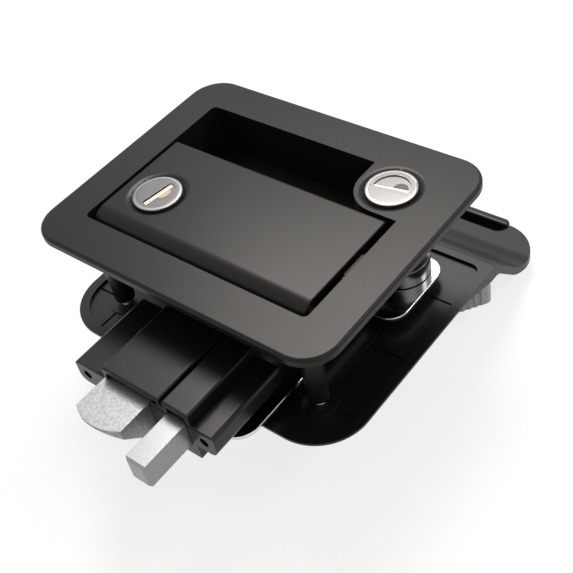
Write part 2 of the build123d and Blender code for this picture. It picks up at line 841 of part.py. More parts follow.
lid_screws = screws_from_below(
    [(rib_x, y) for y in lid_screw_places],
    plate_bottom,
    lid_roof_bottom - slide_gap,
    case_screw_radius,
    2 * case_screw_radius,
)
lid_screws.part.label = "lid_screws"
export_step(lid_screws.part, "parts/lid_screws.step")

# Latch bolt: bowed nose over a bevel that slides along the strike
latch_front = case_front - latch_reach
with BuildPart() as latch_bolt:
    with BuildSketch(Plane.XY.offset(bolt_top - latch_height)):
        with BuildLine():
            Polyline(
                (latch_left, latch_front),
                (latch_left, latch_rear),
                (latch_right, latch_rear),
                (latch_right, latch_front),
            )
            ThreePointArc(
                (latch_right, latch_front),
                (latch_middle, latch_front - latch_bow),
                (latch_left, latch_front),
            )
        make_face()
    extrude(amount=latch_height)
    nose_top = bolt_top - latch_lip
    bevel_depth = latch_height - latch_lip
    with BuildSketch(Plane.YZ.offset(latch_left)):
        with BuildLine():
            Polyline(
                (latch_front - latch_bow, nose_top),
                (latch_front - latch_bow + bevel_depth, nose_top - bevel_depth),
                (latch_front - latch_bow, nose_top - bevel_depth),
                close=True,
            )
        make_face()
    extrude(amount=latch_width, mode=Mode.SUBTRACT)
    with BuildSketch(Plane.XY.offset(strap_bottom)):
        with Locations((latch_middle, latch_rear - tongue_length / 2)):
            Rectangle(latch_strap_width, tongue_length)
    extrude(amount=strap_thickness, mode=Mode.SUBTRACT)
latch_bolt.part.label = "latch_bolt"
export_step(latch_bolt.part, "parts/latch_bolt.step")

# Latch slide: strap with a window for the tail and a cross slot for the pin
transfer_slot_left = transfer_pin_x - transfer_pin_radius - slide_gap
transfer_slot_right = transfer_x + transfer_arm + transfer_pin_radius + slide_gap
latch_slide_rear = transfer_pin_y + transfer_pin_radius + slide_gap + slide_margin
latch_spring_front = latch_rear + lever_gap + tang_thickness
spring_tab_bottom = latch_spring_z - latch_spring_radius
with BuildPart() as latch_slide:
    with BuildSketch(Plane.XY.offset(strap_bottom)):
        rectangle_between(
            latch_middle - latch_strap_width / 2,
            latch_middle + latch_strap_width / 2,
            latch_rear - tongue_length,
            latch_slide_rear,
        )
        with Locations((tail_x, tail_tip_y)):
            Rectangle(tail_width + 2 * lever_gap, 2 * (tail_radius + slide_gap), mode=Mode.SUBTRACT)
        rectangle_between(
            transfer_slot_left,
            transfer_slot_right,
            transfer_pin_y - transfer_pin_radius - slide_gap,
            transfer_pin_y + transfer_pin_radius + slide_gap,
            Mode.SUBTRACT,
        )
    extrude(amount=strap_thickness)
    with BuildSketch(Plane.XY.offset(spring_tab_bottom)):
        with Locations((latch_spring_x, latch_spring_front - tang_thickness / 2)):
            Rectangle(tang_width, tang_thickness)
    extrude(amount=strap_bottom - spring_tab_bottom)
latch_slide.part.label = "latch_slide"
export_step(latch_slide.part, "parts/latch_slide.step")

# Latch spring between the slide's tang and the base plate's tab
spring_start = latch_spring_front + spring_wire + running_gap
spring_length = spring_tab_y - running_gap - spring_wire - spring_start
with BuildPart() as latch_spring:
    with BuildLine() as spring_path:
        Helix(
            spring_length / latch_spring_turns,
            spring_length,
            latch_spring_radius,
            center=(latch_spring_x, spring_start, latch_spring_z),
            direction=(0, 1, 0),
        )
    spring_coil = spring_path.wire()
    with BuildSketch(Plane(spring_coil @ 0, z_dir=spring_coil % 0)):
        Circle(spring_wire)
    sweep(path=spring_coil, is_frenet=True)
latch_spring.part.label = "latch_spring"
export_step(latch_spring.part, "parts/latch_spring.step")

# Deadbolt and the slide that its crank moves
with BuildPart() as deadbolt:
    with BuildSketch(Plane.XY.offset(bolt_top - deadbolt_height)):
        rectangle_between(
            deadbolt_left, deadbolt_right, case_front - deadbolt_reach, deadbolt_rear
        )
    extrude(amount=deadbolt_height)
    chamfer(deadbolt.faces().sort_by(Axis.Y)[0].edges(), deadbolt_chamfer)
    with BuildSketch(Plane.XY.offset(strap_bottom)):
        rectangle_between(
            deadbolt_left + (deadbolt_width - deadbolt_strap_width) / 2,
            deadbolt_left + (deadbolt_width + deadbolt_strap_width) / 2,
            deadbolt_rear - tongue_length,
            deadbolt_rear,
        )
    extrude(amount=strap_thickness, mode=Mode.SUBTRACT)
deadbolt.part.label = "deadbolt"
export_step(deadbolt.part, "parts/deadbolt.step")

strap_left = deadbolt_left + (deadbolt_width - deadbolt_strap_width) / 2
crank_slot_half = crank_pin_radius + crank_slot_gap
yoke_right = crank_x + crank_slot_half + slide_margin - crank_slot_gap
with BuildPart() as deadbolt_slide:
    with BuildSketch(Plane.XY.offset(strap_bottom)):
        rectangle_between(
            strap_left,
            strap_left + deadbolt_strap_width,
            deadbolt_rear - tongue_length,
            crank_y,
        )
        rectangle_between(
            strap_left,
            yoke_right,
            crank_y - crank_slot_half - slide_margin,
            crank_y + crank_slot_half + slide_margin / 2,
        )
        rectangle_between(
            crank_inner_x - crank_slot_half,
            crank_x + crank_slot_half,
            crank_y - crank_slot_half,
            crank_y + crank_slot_half,
            Mode.SUBTRACT,
        )
    extrude(amount=strap_thickness)
deadbolt_slide.part.label = "deadbolt_slide"
export_step(deadbolt_slide.part, "parts/deadbolt_slide.step")

# Hub with its crank, on a spindle that the thumb turn holds
with BuildPart() as deadbolt_hub:
    with BuildSketch(Plane.XY.offset(hub_bottom)):
        with Locations((lock_x, lock_y)):
            Circle(hub_radius)
    extrude(amount=crank_arm_top - hub_bottom)
    with BuildSketch(Plane.XY.offset(crank_arm_top - strap_thickness)):
        arm_between((lock_x, lock_y), (crank_x, crank_y), hub_radius, crank_arm_half)
        with Locations((crank_x, crank_y)):
            Circle(crank_arm_half)
    extrude(amount=strap_thickness)
    with BuildSketch(Plane.XY.offset(crank_arm_top)):
        with Locations((crank_x, crank_y)):
            Circle(crank_pin_radius)
    extrude(amount=strap_top + lever_gap - crank_arm_top)
    with BuildSketch(hub_slot_plane):
        Rectangle(hub_slot_length, hub_slot_width)
    extrude(amount=-hub_slot_depth, mode=Mode.SUBTRACT)
    with BuildSketch(Plane.XY.offset(hub_bottom)):
        with Locations((lock_x, lock_y)):
            Circle(spindle_radius)
    extrude(amount=crank_arm_top - hub_slot_depth - hub_bottom, mode=Mode.SUBTRACT)
deadbolt_hub.part.label = "deadbolt_hub"
export_step(deadbolt_hub.part, "parts/deadbolt_hub.step")

spindle_bottom = thumb_top - thumb_socket_depth
with BuildPart() as hub_spindle:
    with BuildSketch(Plane.XY.offset(spindle_bottom)):
        with Locations((lock_x, lock_y)):
            Circle(spindle_radius)
    extrude(amount=crank_arm_top - hub_slot_depth - spindle_bottom)
hub_spindle.part.label = "hub_spindle"
export_step(hub_spindle.part, "parts/hub_spindle.step")

thumb_plane = Plane(
    (lock_x, lock_y, thumb_bottom),
    x_dir=(cos(radians(thumb_angle)), sin(radians(thumb_angle)), 0),
)
thumb_end_x = thumb_length - thumb_end_corner
thumb_taper = (thumb_hub_radius - thumb_end_half) / thumb_end_x
with BuildPart() as thumb_turn:
    with BuildSketch(thumb_plane):
        Circle(thumb_hub_radius)
        with Locations(*[(thumb_end_x, s * (thumb_end_half - thumb_end_corner)) for s in (-1, 1)]):
            Circle(thumb_end_corner)
        make_hull()
    extrude(amount=thumb_top - thumb_bottom)
    fillet(thumb_turn.edges().group_by(Axis.Z)[0], thumb_edge_round)
    fillet(thumb_turn.edges().group_by(Axis.Z)[-1], thumb_top_round)
    with BuildSketch(Plane.XY.offset(spindle_bottom)):
        with Locations((lock_x, lock_y)):
            Circle(spindle_radius)
    extrude(amount=thumb_socket_depth, mode=Mode.SUBTRACT)
    # Grip grooves down both sides near the end
    with BuildSketch(thumb_plane):
        for groove in range(thumb_groove_count):
            along = thumb_length - thumb_plain_end - groove * thumb_groove_pitch
            half = thumb_end_half + (thumb_end_x - along) * thumb_taper
            with Locations((along, half), (along, -half)):
                Circle(thumb_groove_radius)
    extrude(amount=thumb_top - thumb_bottom, mode=Mode.SUBTRACT)
thumb_turn.part.label = "thumb_turn"
export_step(thumb_turn.part, "parts/thumb_turn.step")

with BuildPart() as thumb_turn_bush:
    with BuildSketch(Plane.XY.offset(inner_room_z)):
        with Locations((lock_x, lock_y)):
            Circle(bush_radius)
    extrude(amount=inner_floor)
    with BuildSketch(Plane.XY.offset(inner_room_z - bush_flange_thickness)):
        with Locations((lock_x, lock_y)):
            Circle(bush_flange_radius)
    extrude(amount=bush_flange_thickness)
    with BuildSketch(Plane.XY.offset(inner_room_z - bush_flange_thickness)):
        with Locations((lock_x, lock_y)):
            Circle(spindle_radius + running_gap)
    extrude(amount=inner_floor + bush_flange_thickness, mode=Mode.SUBTRACT)
thumb_turn_bush.part.label = "thumb_turn_bush"
export_step(thumb_turn_bush.part, "parts/thumb_turn_bush.step")

# Base plate: front tongue under the case, wide rear under the posts
finger_slot_half = lever_finger_thickness / 2 + lever_gap
plate_finger_sweep = (plate_bottom - lever_z) * tan(finger_half_swing)
with BuildPart() as base_plate:
    with BuildSketch(Plane.XY.offset(plate_bottom)) as plate_outline:
        rectangle_between(tongue_left, tongue_right, tongue_front, wide_front + wide_corner)
        fillet(plate_outline.vertices().group_by(Axis.Y)[0], tongue_corner)
        with BuildSketch() as wide_part:
            rectangle_between(-wide_half, wide_half, wide_front, wide_rear)
            fillet(wide_part.vertices(), wide_corner)
        with Locations(*rear_posts):
            Circle(mounting_screw_radius + screw_hole_gap, mode=Mode.SUBTRACT)
        with Locations((lock_x, lock_y)):
            Circle(spindle_radius + running_gap, mode=Mode.SUBTRACT)
        with Locations(*[(rib_x, y) for y in case_screw_places + lid_screw_places]):
            Circle(case_screw_radius + running_gap, mode=Mode.SUBTRACT)
        with Locations((transfer_x, transfer_y)):
            Circle(stud_radius + running_gap, mode=Mode.SUBTRACT)
        with Locations((finger_x, lever_y)):
            Rectangle(
                lever_finger_width + 2 * lever_gap,
                2 * (plate_finger_sweep + 2 * finger_slot_half),
                mode=Mode.SUBTRACT,
            )
    extrude(amount=plate_thickness)
    with BuildSketch(Plane.XY.offset(case_bottom)):
        with Locations((latch_spring_x, spring_tab_y + plate_thickness / 2)):
            Rectangle(tang_width, plate_thickness)
    extrude(amount=latch_spring_z + latch_spring_radius - case_bottom)
base_plate.part.label = "base_plate"
export_step(base_plate.part, "parts/base_plate.step")

# Transfer lever on its stud
with BuildPart() as transfer_lever:
    with BuildSketch(Plane.XY.offset(transfer_bottom)):
        with Locations((transfer_x, transfer_y)):
            Circle(transfer_boss_radius)
        with Locations((transfer_pin_x, transfer_pin_y)):
            Circle(transfer_tip_radius)
        arm_between(
            (transfer_x, transfer_y), (transfer_pin_x, transfer_pin_y), transfer_half, transfer_half
        )
        with Locations((transfer_x, transfer_y)):
            Circle(stud_radius + running_gap, mode=Mode.SUBTRACT)
    extrude(amount=transfer_thickness)
    with BuildSketch(Plane.XY.offset(transfer_top)):
        with Locations((transfer_pin_x, transfer_pin_y)):
            Circle(transfer_pin_radius)
    extrude(amount=strap_top + lever_gap - transfer_top)
transfer_lever.part.label = "transfer_lever"
export_step(transfer_lever.part, "parts/transfer_lever.step")

with BuildPart() as transfer_stud:
    with BuildSketch(Plane.XY.offset(plate_bottom)):
        with Locations((transfer_x, transfer_y)):
            Circle(stud_radius)
    extrude(amount=transfer_top + slide_gap - plate_bottom)
    with BuildSketch(Plane.XY.offset(case_bottom)):
        with Locations((transfer_x, transfer_y)):
            Circle(stud_shoulder_radius)
    extrude(amount=transfer_bottom - slide_gap / 2 - case_bottom)
    with BuildSketch(Plane.XY.offset(transfer_top + slide_gap)):
        with Locations((transfer_x, transfer_y)):
            Circle(stud_shoulder_radius)
    extrude(amount=stud_head_height)
transfer_stud.part.label = "transfer_stud"
export_step(transfer_stud.part, "parts/transfer_stud.step")

# Inner lever: barrel on its pin, a finger upwards and a wide blade to pull
lever_top_z = lever_z - lever_barrel_radius + lever_blade_thickness
with BuildPart() as inner_lever:
    with BuildSketch(Plane.YZ.offset(-lever_blade_half)) as lever_profile:
        with BuildLine():
            Polyline(
                (lever_y, lever_top_z),
                (lever_flare_rear, lever_blade_top),
                (lever_bead_foot, lever_blade_top),
                (lever_bead_front, lever_bead_top),
                (lever_edge_y, lever_bead_top),
                (lever_edge_y, lever_blade_top - lever_blade_thickness),
                (lever_flare_rear, lever_blade_top - lever_blade_thickness),
                (lever_y, lever_top_z - lever_blade_thickness),
                close=True,
            )
        make_face()
        fillet(lever_profile.vertices().group_by(Axis.Y)[-1], lever_bead_round)
    extrude(amount=2 * lever_blade_half)
    with BuildSketch(Plane.XY.offset(lever_blade_top - 2 * lever_blade_thickness)) as lever_plan:
        Polygon(
            (lever_blade_half, lever_edge_y),
            (lever_blade_half, lever_flare_rear),
            (lever_right, lever_shank_rear),
            (lever_right, lever_y - lever_barrel_radius),
            (lever_left, lever_y - lever_barrel_radius),
            (lever_left, lever_shank_rear),
            (-lever_blade_half, lever_flare_rear),
            (-lever_blade_half, lever_edge_y),
            align=None,
        )
        fillet(lever_plan.vertices().group_by(Axis.Y)[-1], lever_corner)
    extrude(amount=lever_top_z - lever_blade_top + 3 * lever_blade_thickness, mode=Mode.INTERSECT)
    with BuildSketch(Plane.YZ.offset(lever_left)):
        with Locations((lever_y, lever_z)):
            Circle(lever_barrel_radius)
    extrude(amount=lever_right - lever_left)
    finger_plane = Plane(
        (finger_x, lever_y, lever_z),
        x_dir=(1, 0, 0),
        z_dir=(0, -sin(finger_half_swing), cos(finger_half_swing)),
    )
    with BuildSketch(finger_plane):
        RectangleRounded(lever_finger_width, lever_finger_thickness, lever_finger_round)
    extrude(amount=lever_finger_arm + lever_finger_top)
    with BuildSketch(Plane.YZ.offset(lever_left)):
        with Locations((lever_y, lever_z)):
            Circle(lever_pin_radius + running_gap)
    extrude(amount=lever_right - lever_left, mode=Mode.SUBTRACT)
inner_lever.part.label = "inner_lever"
export_step(inner_lever.part, "parts/inner_lever.step")

# Pin through the inner plate's two ears, with the lever's return spring
left_ear_x = lever_left - lever_spring_room - lever_ear_length
right_ear_x = lever_right + slide_gap
with BuildPart() as inner_lever_pin:
    with BuildSketch(Plane.YZ.offset(left_ear_x)):
        with Locations((lever_y, lever_z)):
            Circle(lever_pin_radius)
    extrude(amount=right_ear_x + lever_ear_length - left_ear_x)
inner_lever_pin.part.label = "inner_lever_pin"
export_step(inner_lever_pin.part, "parts/inner_lever_pin.step")

inner_lever_spring = torsion_spring(
    lever_left - lever_spring_room + spring_wire + slide_gap,
    lever_y,
    lever_z,
    lever_pin_radius,
    lever_spring_turns,
    lever_spring_leg,
)
inner_lever_spring.part.label = "inner_lever_spring"
export_step(inner_lever_spring.part, "parts/inner_lever_spring.step")

# Inner plate: shallow pan and pull wing in one moulding
slope = tan(radians(wing_slope))
wing_knee = inner_crest + (inner_rim_z - wing_top) / slope
under_drop = wing_thickness / cos(radians(wing_slope))
under_root = inner_crest + (inner_thickness - under_drop) / slope
under_knee = inner_crest + (inner_rim_z - wing_top + wing_thickness - under_drop) / slope
with BuildPart() as inner_plate:
    with BuildSketch(Plane.YZ.offset(-inner_half)) as plate_profile:
        with BuildLine():
            Polyline(
                (inner_front, inner_rim_z),
                (inner_crest, inner_rim_z),
                (wing_knee, wing_top),
                (wing_far, wing_top),
                (wing_far, wing_top - wing_thickness),
                (under_knee, wing_top - wing_thickness),
                (under_root, inner_room_z),
                (inner_front, inner_room_z),
                close=True,
            )
        make_face()
        # Round the crest, the knee over and under the wing, and the foot
        roundings = (
            ((inner_crest, inner_rim_z), wing_crest_round),
            ((wing_knee, wing_top), wing_knee_round),
            ((under_knee, wing_top - wing_thickness), wing_knee_round + wing_thickness),
            ((under_root, inner_room_z), inner_foot_round),
        )
        for (corner_y, corner_z), corner_round in roundings:
            corner = Vector(corner_y, corner_z)
            fillet(plate_profile.vertices().sort_by_distance(corner)[0], corner_round)
    extrude(amount=2 * inner_half)
    with BuildSketch(Plane.XY.offset(wing_top - wing_thickness)) as plan:
        rectangle_between(-inner_half, inner_half, inner_front, wing_far)
        fillet(plan.vertices().group_by(Axis.Y)[0], inner_corner)
        fillet(plan.vertices().group_by(Axis.Y)[-1], wing_corner)
        with BuildSketch(mode=Mode.SUBTRACT) as notch:
            rectangle_between(-notch_half, notch_half, notch_front, wing_far + notch_corner)
            fillet(notch.vertices().group_by(Axis.Y)[0], notch_corner)
    extrude(amount=inner_rim_z - wing_top + wing_thickness, mode=Mode.INTERSECT)
    # The rim stands out all round as a thin lip, because the body under it is
    # cut away at 45 degrees; at the rear the cut fades out into the wing
    undercut = inner_rim_z - inner_rim_lip - inner_room_z
    lip_z = inner_rim_z - inner_rim_lip
    with BuildLine() as undercut_path:
        FilletPolyline(
            (inner_half, undercut_rear, lip_z),
            (inner_half, inner_front, lip_z),
            (-inner_half, inner_front, lip_z),
            (-inner_half, undercut_rear, lip_z),
            radius=inner_corner,
        )
    with BuildSketch(Plane.XZ.offset(-undercut_rear)):
        Polygon(
            (inner_half, lip_z),
            (inner_half, inner_room_z),
            (inner_half - undercut, inner_room_z),
            align=None,
        )
    sweep(path=undercut_path.wire(), mode=Mode.SUBTRACT)
    for side in (-1, 1):
        with BuildSketch(Plane.XZ.offset(-undercut_rear)):
            Polygon(
                (side * inner_half, lip_z),
                (side * inner_half, inner_room_z),
                (side * (inner_half - undercut), inner_room_z),
                align=None,
            )
        with BuildSketch(Plane.XZ.offset(-undercut_end)):
            Polygon(
                (side * inner_half, inner_room_z + undercut_tip),
                (side * inner_half, inner_room_z),
                (side * (inner_half - undercut_tip), inner_room_z),
                align=None,
            )
        loft(mode=Mode.SUBTRACT)
    # Shallow hollow towards the door
    with BuildSketch(Plane.XY.offset(inner_floor_z)) as hollow:
        rectangle_between(
            -inner_half + inner_rim,
            inner_half - inner_rim,
            inner_front + inner_rim,
            inner_crest - inner_rim,
        )
        fillet(hollow.vertices().group_by(Axis.Y)[0], inner_corner - inner_rim)
        fillet(hollow.vertices().group_by(Axis.Y)[-1], inner_hollow_corner)
    extrude(amount=inner_rim_z - inner_floor_z, mode=Mode.SUBTRACT)
    # Grooves in its floor: crosses through the front bosses and lines beside them
    with BuildSketch(Plane.XY.offset(inner_floor_z)):
        for side in (-1, 1):
            wall_x = side * (inner_half - inner_rim)
            groove_lines = (
                (side * post_x, inner_front + inner_rim, side * post_x, groove_rear),
                (side * groove_inner_x, front_post_y, wall_x, front_post_y),
                (side * post_x, cross_groove_y, wall_x, cross_groove_y),
                (side * rear_groove_x, rear_groove_y, wall_x, rear_groove_y),
            )
            for start_x, start_y, end_x, end_y in groove_lines:
                rectangle_between(
                    min(start_x, end_x) - groove_width / 2,
                    max(start_x, end_x) + groove_width / 2,
                    start_y - groove_width / 2,
                    end_y + groove_width / 2,
                )
    extrude(amount=-groove_depth, mode=Mode.SUBTRACT)
    # Low pads round the front screws, and bosses up to the base plate
    with BuildSketch(Plane.XY.offset(inner_floor_z - groove_depth)):
        with Locations(*front_posts):
            Circle(boss_pad_radius)
    extrude(amount=groove_depth + boss_pad_height)
    with BuildSketch(Plane.XY.offset(inner_floor_z)):
        with Locations(*rear_posts):
            Circle(rear_boss_radius)
    extrude(amount=plate_bottom - inner_floor_z)
    # Ears that carry the lever's pin
    for ear_start in (left_ear_x, right_ear_x):
        with BuildSketch(Plane.YZ.offset(ear_start)):
            with Locations((lever_y, lever_z)):
                Circle(lever_ear_radius)
            rectangle_between(
                lever_y - lever_ear_radius, lever_y + lever_ear_radius, lever_z, inner_room_z
            )
        extrude(amount=lever_ear_length)
    with BuildSketch(Plane.YZ.offset(left_ear_x)):
        with Locations((lever_y, lever_z)):
            Circle(lever_pin_radius + running_gap)
    extrude(amount=right_ear_x + lever_ear_length - left_ear_x, mode=Mode.SUBTRACT)
    # Holes for the screws, the bush and the lever's finger
    with BuildSketch(Plane.XY.offset(inner_room_z)):
        with Locations(*front_posts, *rear_posts):
            Circle(mounting_screw_radius + screw_hole_gap)
    extrude(amount=plate_bottom - inner_room_z, mode=Mode.SUBTRACT)
    room_sweep = (inner_floor_z - lever_z) * tan(finger_half_swing)
    with BuildSketch(Plane.XY.offset(inner_room_z)):
        with Locations((lock_x, lock_y)):
            Circle(bush_radius)
        with Locations((finger_x, lever_y)):
            Rectangle(
                lever_finger_width + 2 * lever_gap, 2 * (room_sweep + 2 * finger_slot_half)
            )
    extrude(amount=inner_floor, mode=Mode.SUBTRACT)
inner_plate.part.label = "inner_plate"
export_step(inner_plate.part, "parts/inner_plate.step")

mounting_screws = screws_from_below(
    front_posts + rear_posts,
    inner_room_z,
    inner_room_z + mounting_screw_length,
    mounting_screw_radius,
    mounting_head_radius,
)
mounting_screws.part.label = "mounting_screws"
export_step(mounting_screws.part, "parts/mounting_screws.step")
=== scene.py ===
# %% [markdown]
# The object is a recessed paddle latch for a caravan door. Everything that has a
# real size is already in the frame, so this script dresses it: it gives castings,
# mouldings, plated steel and locks their finishes, rounds their edges and adds
# the small details that are too fine for the frame. The frame could be rebuilt
# here by hand, but then sizes would drift apart, so it is loaded and never moved.

# %% Load the frame
import bmesh
import bpy
import json
from math import cos, radians, sin
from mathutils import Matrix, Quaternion, Vector


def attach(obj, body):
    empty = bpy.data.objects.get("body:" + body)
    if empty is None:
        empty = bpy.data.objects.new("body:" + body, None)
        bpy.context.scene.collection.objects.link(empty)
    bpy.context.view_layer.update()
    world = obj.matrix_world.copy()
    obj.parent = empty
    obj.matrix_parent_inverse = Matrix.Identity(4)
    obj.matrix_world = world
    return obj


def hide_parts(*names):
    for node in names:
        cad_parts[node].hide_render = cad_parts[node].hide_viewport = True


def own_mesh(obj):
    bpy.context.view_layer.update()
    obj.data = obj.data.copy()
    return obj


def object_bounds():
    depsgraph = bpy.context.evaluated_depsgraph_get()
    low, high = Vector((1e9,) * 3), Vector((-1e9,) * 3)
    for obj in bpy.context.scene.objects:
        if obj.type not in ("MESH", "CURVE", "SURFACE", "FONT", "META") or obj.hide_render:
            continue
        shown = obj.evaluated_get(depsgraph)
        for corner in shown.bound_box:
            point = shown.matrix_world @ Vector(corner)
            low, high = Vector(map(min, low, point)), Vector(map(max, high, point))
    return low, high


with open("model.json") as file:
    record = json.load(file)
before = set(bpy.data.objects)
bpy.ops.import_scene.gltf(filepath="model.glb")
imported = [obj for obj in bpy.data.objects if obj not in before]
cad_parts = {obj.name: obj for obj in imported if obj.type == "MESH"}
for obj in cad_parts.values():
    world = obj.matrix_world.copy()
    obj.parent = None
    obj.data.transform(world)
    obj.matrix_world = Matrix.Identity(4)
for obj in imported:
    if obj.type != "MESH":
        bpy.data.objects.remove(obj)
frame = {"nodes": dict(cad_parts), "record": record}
MM = 0.001
cad_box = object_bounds()
print("frame box in mm:", [[round(v / MM, 1) for v in corner] for corner in cad_box])

# %% [markdown]
# A finish is a small graph of shader nodes. Wiring each node by hand hides the
# idea, so one class wraps an output socket and overloads the operators: an
# expression such as 0.4 + 0.1 * grain then adds its own Math nodes. Numbers
# alone are worked out in Python and set on the shader's own sockets.

# %% A socket that does arithmetic
class Flow:
    """An output socket of a shader tree that can be used in expressions."""

    def __init__(self, tree, socket):
        self.tree = tree
        self.socket = socket

    def node(self, kind, values, output=0, **settings):
        """Add any node: its settings first, then the values or links of its inputs."""
        made = self.tree.nodes.new(kind)
        for name, value in settings.items():
            if name == "stops":
                ramp_stops(made.color_ramp, value)
            else:
                setattr(made, name, value)
        for key, value in values.items():
            if isinstance(value, Flow):
                self.tree.links.new(value.socket, made.inputs[key])
            else:
                made.inputs[key].default_value = value
        return Flow(self.tree, made.outputs[output])

    def math(self, operation, other, swap=False):
        """Combine this flow with another flow or a number in a Math node."""
        first, second = (other, self) if swap else (self, other)
        return self.node("ShaderNodeMath", {0: first, 1: second}, operation=operation)

    def __add__(self, other):
        return self.math("ADD", other)

    __radd__ = __add__

    def __mul__(self, other):
        return self.math("MULTIPLY", other)

    __rmul__ = __mul__

    def __rsub__(self, other):
        return self.math("SUBTRACT", other, swap=True)

    def clamp(self):
        """Hold the flow between 0 and 1."""
        return self.node("ShaderNodeClamp", {0: self})


def ramp_stops(ramp, stops):
    """Give a colour ramp its stops: (place, grey) pairs."""
    while len(ramp.elements) > 1:
        ramp.elements.remove(ramp.elements[-1])
    first_place, first_grey = stops[0]
    ramp.elements[0].position = first_place
    ramp.elements[0].color = (first_grey, first_grey, first_grey, 1)
    for place, grey in stops[1:]:
        ramp.elements.new(place).color = (grey, grey, grey, 1)


# %% [markdown]
# Every finish starts the same way: a new material with the object's own
# coordinates, in metres, at hand, and a Principled shader whose plain numbers are
# set directly. A helper makes that start and returns the coordinates, so each
# finish below shows only what is special to it.

# %% Start a finish
mix_factor = 0
mix_dark = 6
mix_light = 7
mix_colour = 2


def start_finish(name, **numbers):
    """Return (material, shader, place): a material whose shader has these numbers."""
    material = bpy.data.materials.new(name)
    material.use_nodes = True
    tree = material.node_tree
    tree.nodes.clear()
    shader = tree.nodes.new("ShaderNodeBsdfPrincipled")
    output = tree.nodes.new("ShaderNodeOutputMaterial")
    tree.links.new(shader.outputs[0], output.inputs["Surface"])
    for socket, value in numbers.items():
        shader.inputs[socket.replace("_", " ")].default_value = value
    coordinates = tree.nodes.new("ShaderNodeTexCoord")
    return material, shader, Flow(tree, coordinates.outputs["Object"])


def noise(place, size, detail=2.0, roughness=0.5, stretch=(1, 1, 1)):
    """Noise whose grains are about size millimetres across, 0 to 1."""
    scaled = place.node(
        "ShaderNodeVectorMath", {0: place, 1: stretch}, operation="MULTIPLY"
    )
    scale = 1 / (size * MM)
    values = {"Vector": scaled, "Scale": scale, "Detail": detail, "Roughness": roughness}
    return place.node("ShaderNodeTexNoise", values)


def colour(level, *shares):
    """One brightness, times the shares of red, green and blue."""
    return tuple(level * share for share in shares)


def tint(place, factor, dark, light):
    """Mix two colours by a factor."""
    values = {mix_factor: factor, mix_dark: (*dark, 1), mix_light: (*light, 1)}
    return place.node("ShaderNodeMix", values, output=mix_colour, data_type="RGBA")


def feed(shader, **links):
    """Link what varies over the surface to the shader's sockets."""
    for socket, flow in links.items():
        flow.tree.links.new(flow.socket, shader.inputs[socket.replace("_", " ")])


def bumped(height, depth):
    """A normal from a height of 0 to 1 that stands for depth millimetres."""
    values = {"Height": height, "Distance": depth * MM, "Strength": 1.0}
    return height.node("ShaderNodeBump", values)


# %% [markdown]
# The housing and the paddle are zinc castings with a satin black powder coat.
# Such a coat is nearly even in colour. What gives it away is orange peel, a very
# shallow waviness under a fine grain, and a gloss that changes a little from
# place to place. Paint could be one flat colour, but then it looks like plastic.

# %% Satin black powder coat
def powder_coat(name, grey, gloss):
    """A warm black coat: its grey, and the roughness of its smoothest places."""
    material, shader, place = start_finish(name, IOR=1.5, Specular_IOR_Level=0.2)
    grain = noise(place, size=0.35, detail=3)
    waves = noise(place, size=2.6)
    cloud = noise(place, size=30, detail=1)
    dark = colour(grey, 0.9, 0.85, 0.82)
    light = colour(grey, 1.2, 1.14, 1.09)
    feed(
        shader,
        Base_Color=tint(place, cloud, dark, light),
        Roughness=gloss + 0.06 * grain + 0.05 * cloud,
        Normal=bumped(0.4 * grain + 0.6 * waves, depth=0.012),
    )
    return material


black_coat = powder_coat("satin black coat", grey=0.009, gloss=0.28)
paddle_coat = powder_coat("satin black paddle", grey=0.008, gloss=0.24)
print("powder coats:", black_coat.name, "and", paddle_coat.name)

# %% [markdown]
# The latch case, the inner plate, the inner lever and the thumb turn's bush are
# nylon mouldings. Their mould was spark eroded, so the skin has a fine even
# grain, and the plastic flows leave slow changes of gloss. The same recipe with
# other numbers serves all four: the case is the glossiest, the bush the dullest.

# %% Black nylon
def black_nylon(name, grey, gloss, gleam, grain_depth):
    """A moulded black: gleam is the specular level, grain_depth is in millimetres."""
    material, shader, place = start_finish(name, IOR=1.53, Specular_IOR_Level=gleam)
    grain = noise(place, size=0.22, detail=2)
    flow = noise(place, size=18, detail=3, stretch=(1, 0.4, 1))
    dark = colour(grey, 0.8, 0.8, 0.8)
    light = colour(grey, 1.2, 1.18, 1.16)
    feed(
        shader,
        Base_Color=tint(place, flow, dark, light),
        Roughness=gloss + 0.10 * flow + 0.05 * grain,
        Normal=bumped(grain, grain_depth),
    )
    return material


case_nylon = black_nylon("case nylon", grey=0.007, gloss=0.24, gleam=0.25, grain_depth=0.005)
plate_nylon = black_nylon(
    "inner plate nylon", grey=0.006, gloss=0.28, gleam=0.24, grain_depth=0.006
)
lever_nylon = black_nylon(
    "inner lever nylon", grey=0.009, gloss=0.26, gleam=0.28, grain_depth=0.005
)
bush_nylon = black_nylon("bush nylon", grey=0.02, gloss=0.45, gleam=0.3, grain_depth=0.006)
print("nylon finishes: case, inner plate, inner lever, bush")

# %% [markdown]
# The bolts are zinc castings, tumbled and plated: bright metal with small grey
# crystals and pits. A metal's colour is its reflection, so the spangle goes into
# both the colour and the roughness, and shallow pits into the bump.

